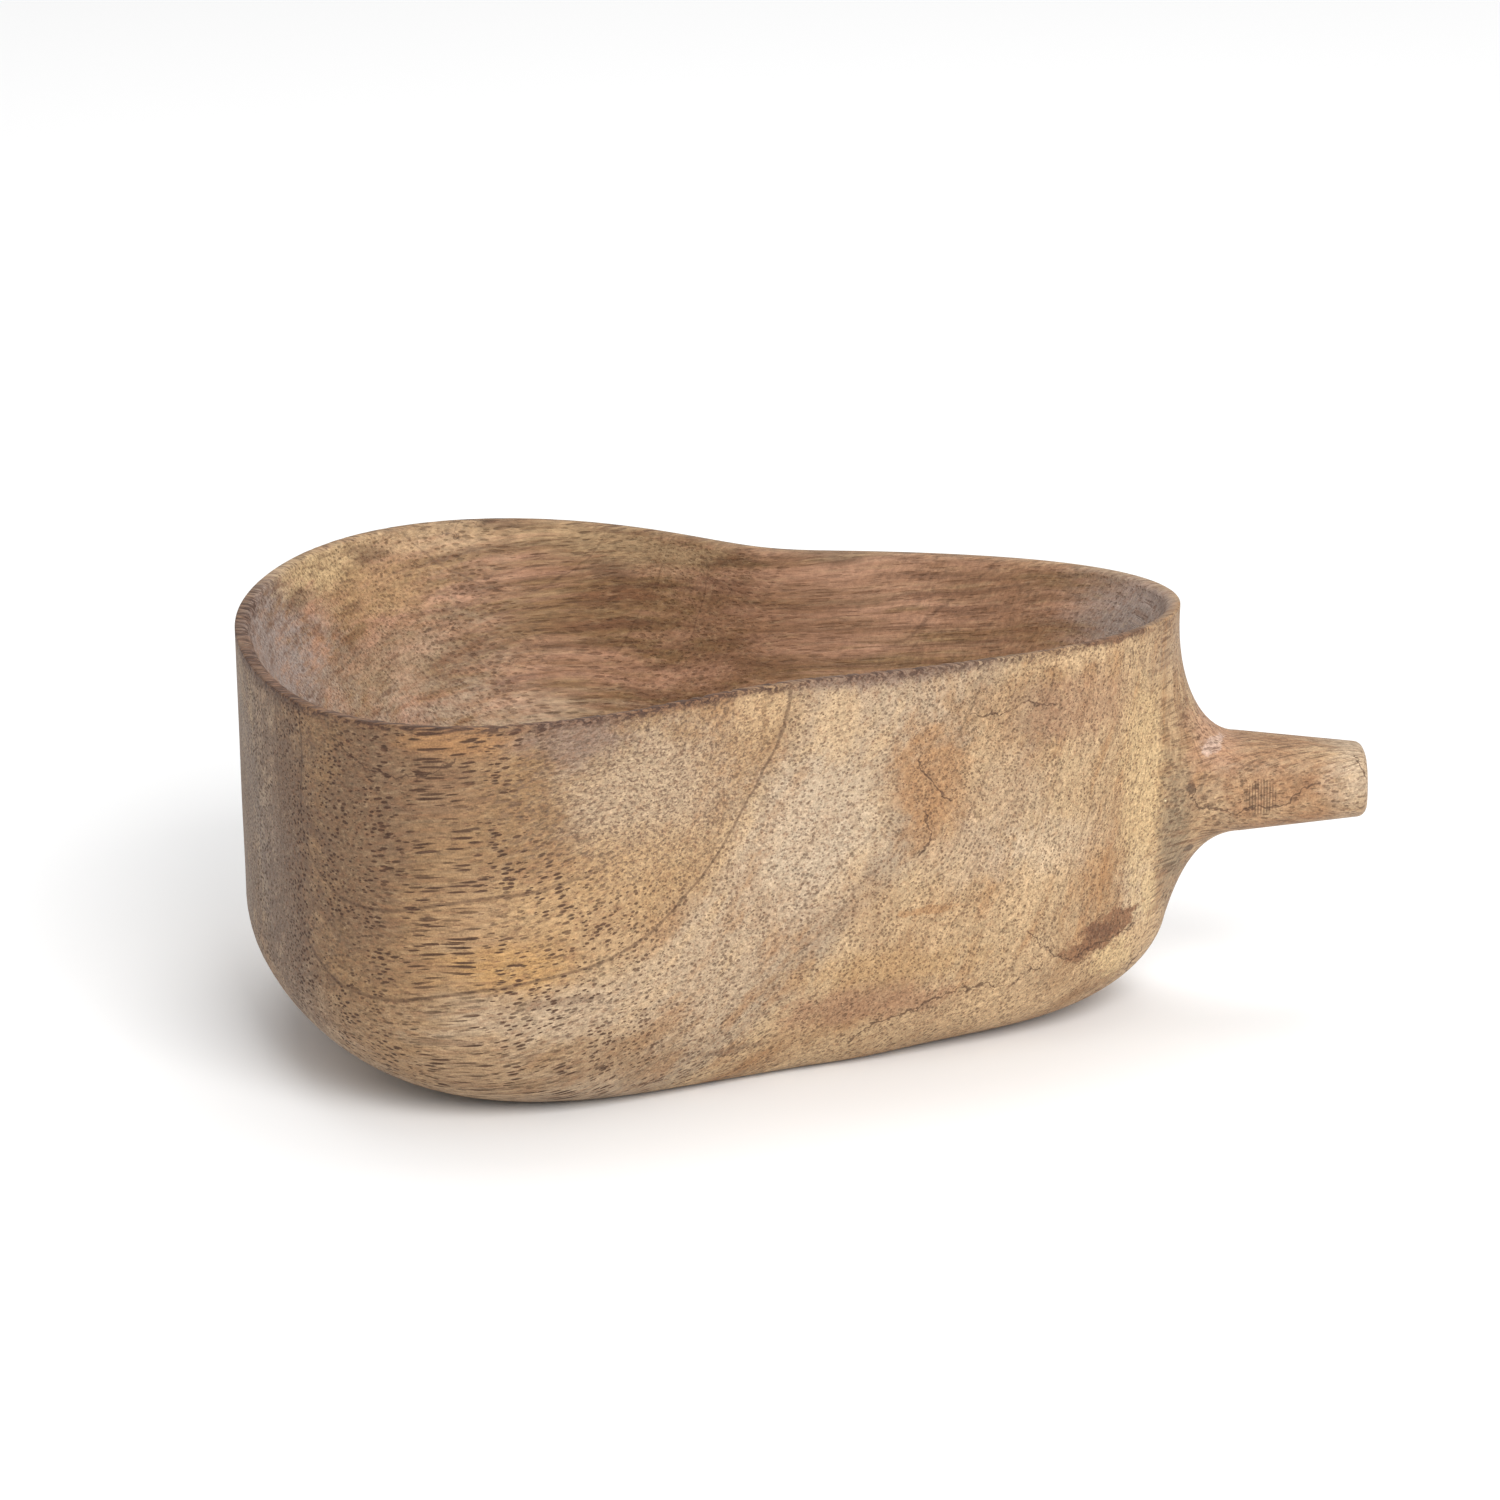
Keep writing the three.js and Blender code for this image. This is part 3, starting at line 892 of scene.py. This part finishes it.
def add_lines(g, at, colour):
    """Streaks along the fibres, growth lines and fungus lines."""
    colour = g.mix(g.steps(at.streaks, 0.45, 0.72, 0.0, 0.55), colour, RED_BROWN)
    colour = g.mix(g.steps(at.streaks, 0.5, 0.25, 0.0, 0.35), colour, SAND)
    ring_lines = ring_line_mask(g, at.ring, at.place)
    colour = g.mix(g.times(ring_lines, RING_LINE_COVER), colour, DARK)
    wander = g.noise(at.place, (0.3, 0.3, 0.3), detail=3.0, rough=0.7, colour=True)
    fungus = fungus_line_mask(g, at.place, g.sway(wander, WANDER))
    return g.mix(g.times(fungus, FUNGUS_COVER), colour, DARK)


def add_pores(g, at, colour, large, small):
    """Pores, and hair-thin lines where they are few. Returns the mask of the large pores that
    show, and the colour."""
    offset = g.vector("SUBTRACT", at.place, QUIET_PLACE)
    quiet_patch = g.vector("LENGTH", g.vector("DIVIDE", offset, QUIET_SIZE))
    in_patch = g.steps(quiet_patch, 0.6, 1.1, 0.2, 1.0)
    fewer = g.times(in_patch, g.steps(at.x, -42.0, -8.0, 1.0, 0.55))
    grouped = g.steps(g.noise(at.log, (0.07, 0.2, 0.2), detail=2.0), 0.36, 0.5, 0.5, 1.0)
    on_side = g.times(g.times(large, grouped), g.steps(at.hollow, 0.0, 1.0, 1.0, 0.5))
    shown = g.times(on_side, fewer)
    colour = g.mix(g.times(shown, PORE_COVER), colour, DARK)
    fainter = g.steps(at.hollow, 0.0, 1.0, 0.55, 0.15)
    colour = g.mix(g.times(small, fainter), colour, DARK_RED)
    hairs = g.steps(g.noise(at.log, (0.1, 2.4, 2.4), detail=2.0, rough=0.6), 0.5, 0.64)
    quiet = g.steps(quiet_patch, 1.5, 0.6, 0.2, 0.8)
    return shown, g.mix(g.times(hairs, quiet), colour, UMBER)


def add_tool_marks(g, at, colour):
    """Chatter on the stem, and the rim's darker cut fibres, strongest at the front and left.
    Returns how deep the rim is cut, from 0 to 1, and the colour."""
    stripes = stem_stripe_mask(g, at.x, at.height)
    colour = g.mix(g.times(stripes, STRIPE_COVER), colour, DARK)
    rim = g.steps(g.add(at.height, g.centred(at.ragged, 4.0)), 63.2, 64.8)
    rough_side = g.steps(g.add(at.y, g.times(at.x, 0.25)), 14.0, -12.0, 0.15, 1.0)
    cuts = g.steps(g.noise(at.log, (0.1, 1.5, 1.5), detail=2.0, rough=0.6), 0.44, 0.56, 0.45, 1.0)
    marked = g.times(g.times(rim, rough_side), g.steps(at.x, -10.0, 50.0, 1.0, 0.6))
    colour = g.mix(g.times(marked, g.times(cuts, RIM_COVER)), colour, DARK_RED)
    deep = g.steps(cuts, 0.75, 1.0, 0.0, RIM_CUT_COVER)
    return g.times(rim, cuts), g.mix(g.times(marked, deep), colour, BLACK_BROWN)


def grain_brightness(g, at):
    """Fine light and dark: specks, and flecks that follow the fibres at the left and the rings at
    the right."""
    mottle = g.noise(at.log, (0.5, 2.0, 2.0), detail=3.0, rough=0.65)
    flecks = g.noise(at.ring_place, (1.6, 0.8, 0.8), detail=3.0, rough=0.7)
    right = g.steps(at.x, -10.0, 25.0)
    uneven = g.math("MULTIPLY_ADD", g.math("SUBTRACT", flecks, mottle), right, mottle)
    specks = g.times(g.add(at.speckle, -0.5), g.steps(at.hollow, 0.0, 1.0, SPECKLE, 0.3))
    grain = g.add(specks, g.centred(uneven, MOTTLE))
    return g.times(g.add(grain, 1.0), WOOD_BRIGHTNESS)


def relief_normal(g, at, large, small, rim_cuts):
    """The bump of the open pores, the streaks, the specks and the cut rim."""
    relief = g.times(g.add(large, g.times(small, 0.5)), PORE_RELIEF)
    relief = g.add(relief, g.times(at.streaks, STREAK_RELIEF))
    relief = g.add(relief, g.times(at.speckle, SPECK_RELIEF))
    relief = g.add(relief, g.times(rim_cuts, RIM_RELIEF))
    return g.node("Bump", {"Strength": RELIEF_STRENGTH, "Distance": MM, "Height": relief})


def wood_material():
    material = bpy.data.materials.new("wood")
    material.use_nodes = True
    g = Graph(material.node_tree)
    at = wood_fields(g)
    large = pore_mask(g, at.log, *LARGE_PORES)
    small = pore_mask(g, at.log, *SMALL_PORES)
    colour = g.mix(at.hollow, outside_colour(g, at), hollow_colour(g, at))
    colour = add_lines(g, at, colour)
    pores, colour = add_pores(g, at, colour, large, small)
    rim_cuts, colour = add_tool_marks(g, at, colour)
    colour = g.mix(1.0, colour, grain_brightness(g, at), "MULTIPLY")
    broad = g.steps(at.cloud, 0.3, 0.7, 0.42, 0.52)
    roughness = g.add(g.add(g.times(at.streaks, 0.2), broad), g.times(pores, 0.15))
    shader = material.node_tree.nodes["Principled BSDF"]
    g.set(shader.inputs["Base Color"], colour)
    g.set(shader.inputs["Roughness"], roughness)
    g.set(shader.inputs["Normal"], relief_normal(g, at, large, small, rim_cuts))
    shader.inputs["IOR"].default_value = 1.46
    shader.inputs["Specular IOR Level"].default_value = 0.3
    return material


# The camera's azimuth, elevation and roll in degrees, and where it looks
CAMERA_ANGLES = (-1.97, 17.79, -0.93)
CAMERA_TARGET = (-8.4 * MM, 0, 42.4 * MM)
CAMERA_DISTANCE = 1.1
LENS = 169
SENSOR_WIDTH = 36

# Soft lights: (place, (width, height), power), and the point that they are aimed at
LIGHTS = {
    "key": ((0.45, -1.1, 0.9), (0.9, 0.9), 19),
    "top": ((0.0, 0.5, 1.3), (1.2, 0.8), 7),
}
LIGHT_TARGET = (0, 0, 0.03)
BACKGROUND_STRENGTH = 0.62

# The floor lies a hair below the foot, so that the two faces don't meet in one plane
FLOOR_HALF = 6.0
FLOOR_DROP = 0.2 * MM
FLOOR_GREY = 0.9


def add_camera():
    """The camera that looks at the cup's front a little from above, with a long lens."""
    azimuth, elevation, roll = (math.radians(degrees) for degrees in CAMERA_ANGLES)
    back = Vector((
        math.sin(azimuth) * math.cos(elevation),
        -math.cos(azimuth) * math.cos(elevation),
        math.sin(elevation),
    ))
    level = Vector((math.cos(azimuth), math.sin(azimuth), 0))
    up = back.cross(level)
    right = math.cos(roll) * level + math.sin(roll) * up
    above = back.cross(right)
    data = bpy.data.cameras.new("camera")
    data.lens = LENS
    data.sensor_width = SENSOR_WIDTH
    data.clip_start = 0.05
    data.clip_end = 20
    camera = bpy.data.objects.new("camera", data)
    place = Vector(CAMERA_TARGET) + CAMERA_DISTANCE * back
    turned = Matrix((right, above, back)).transposed().to_4x4()
    camera.matrix_world = Matrix.Translation(place) @ turned
    bpy.context.scene.collection.objects.link(camera)
    bpy.context.scene.camera = camera


def add_light(name, place, size, power):
    data = bpy.data.lights.new(name, "AREA")
    data.shape = "RECTANGLE"
    data.size, data.size_y = size
    data.energy = power
    light = bpy.data.objects.new(name, data)
    light.location = place
    towards = Vector(LIGHT_TARGET) - Vector(place)
    light.rotation_euler = towards.to_track_quat("-Z", "Y").to_euler()
    bpy.context.scene.collection.objects.link(light)


def add_floor():
    mesh = bpy.data.meshes.new("floor")
    sides = ((-1, -1), (1, -1), (1, 1), (-1, 1))
    corners = [(FLOOR_HALF * x, FLOOR_HALF * y, -FLOOR_DROP) for x, y in sides]
    mesh.from_pydata(corners, [], [(0, 1, 2, 3)])
    material = bpy.data.materials.new("floor")
    material.use_nodes = True
    shader = material.node_tree.nodes["Principled BSDF"]
    shader.inputs["Base Color"].default_value = (FLOOR_GREY, FLOOR_GREY, FLOOR_GREY, 1)
    shader.inputs["Roughness"].default_value = 0.9
    mesh.materials.append(material)
    floor = bpy.data.objects.new("floor", mesh)
    bpy.context.scene.collection.objects.link(floor)


def add_studio():
    """A white world and the soft lights."""
    bpy.context.scene.view_settings.view_transform = "Standard"
    world = bpy.data.worlds.new("world")
    bpy.context.scene.world = world
    world.use_nodes = True
    background = world.node_tree.nodes["Background"]
    background.inputs["Color"].default_value = (1, 1, 1, 1)
    background.inputs["Strength"].default_value = BACKGROUND_STRENGTH
    for name, settings in LIGHTS.items():
        add_light(name, *settings)


cup = mesh_object("carved_cup", *cup_shell(), wood_material())
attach(cup, "root")
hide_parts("cup")

add_floor()
add_studio()
add_camera()

bpy.context.view_layer.update()
